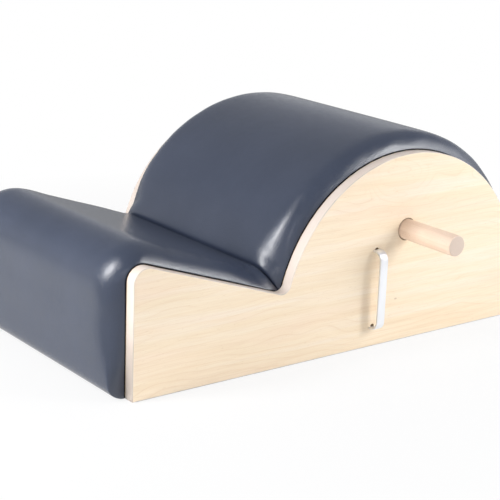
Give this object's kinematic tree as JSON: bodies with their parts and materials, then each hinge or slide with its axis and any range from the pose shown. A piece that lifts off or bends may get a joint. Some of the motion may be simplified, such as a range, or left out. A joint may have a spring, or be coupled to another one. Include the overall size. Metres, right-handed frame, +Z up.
{
  "type": "pilates spine corrector",
  "caption": "Padded exercise step and arched barrel in dark leather between pale plywood sides, with a wooden hand peg and a bow carrying handle on each side.",
  "frame": {"origin": "on the floor, under the middle of the object's length and of its width", "axes": "+X runs from the low step end to the barrel's back, +Y to the left side as seen from behind the step end, +Z up"},
  "size_m": [0.8672, 0.7268, 0.3549],
  "materials": {
    "maple_panel": "satin",
    "plywood": "matte",
    "beech": "satin",
    "leather": "satin",
    "foam": "matte",
    "aluminium": "satin",
    "steel": "satin",
    "brass": "satin",
    "rubber": "matte"
  },
  "bodies": {
    "frame": {"back_rail": "beech", "back_rail_screw_left": "steel", "back_rail_screw_right": "steel", "barrel_cover": "leather", "barrel_deck": "plywood", "barrel_foam": "foam", "base_strip_left": "rubber", "base_strip_right": "rubber", "bolt_insert_left_1": "brass", "bolt_insert_left_2": "brass", "bolt_insert_left_3": "brass", "bolt_insert_left_4": "brass", "bolt_insert_right_1": "brass", "bolt_insert_right_2": "brass", "bolt_insert_right_3": "brass", "bolt_insert_right_4": "brass", "centre_rib": "plywood", "corner_nosing": "beech", "crown_rail": "beech", "crown_rail_screw_left": "steel", "crown_rail_screw_right": "steel", "front_board": "plywood", "front_rail": "beech", "front_rail_screw_left": "steel", "front_rail_screw_right": "steel", "handle_screw_left_lower": "steel", "handle_screw_left_upper": "steel", "handle_screw_right_lower": "steel", "handle_screw_right_upper": "steel", "handle_washer_left_lower": "steel", "handle_washer_left_upper": "steel", "handle_washer_right_lower": "steel", "handle_washer_right_upper": "steel", "inner_rib_left": "plywood", "inner_rib_right": "plywood", "peg_socket_left": "plywood", "peg_socket_right": "plywood", "pull_handle_left": "aluminium", "pull_handle_right": "aluminium", "seat_cover": "leather", "seat_deck": "plywood", "seat_foam": "foam", "side_bolt_left_1": "steel", "side_bolt_left_2": "steel", "side_bolt_left_3": "steel", "side_bolt_left_4": "steel", "side_bolt_right_1": "steel", "side_bolt_right_2": "steel", "side_bolt_right_3": "steel", "side_bolt_right_4": "steel", "side_panel_left": "maple_panel", "side_panel_right": "maple_panel", "valley_rail": "beech", "valley_rail_screw_left": "steel", "valley_rail_screw_right": "steel"},
    "peg_left": {"hand_peg_left": "beech"},
    "peg_right": {"hand_peg_right": "beech"}
  },
  "joints": [
    {"name": "peg_slide_left", "type": "slide", "parent": "frame", "child": "peg_left", "axis": [0, 1, 0], "range_m": [0, 0.065]},
    {"name": "peg_slide_right", "type": "slide", "parent": "frame", "child": "peg_right", "axis": [0, -1, 0], "range_m": [0, 0.065]}
  ]
}
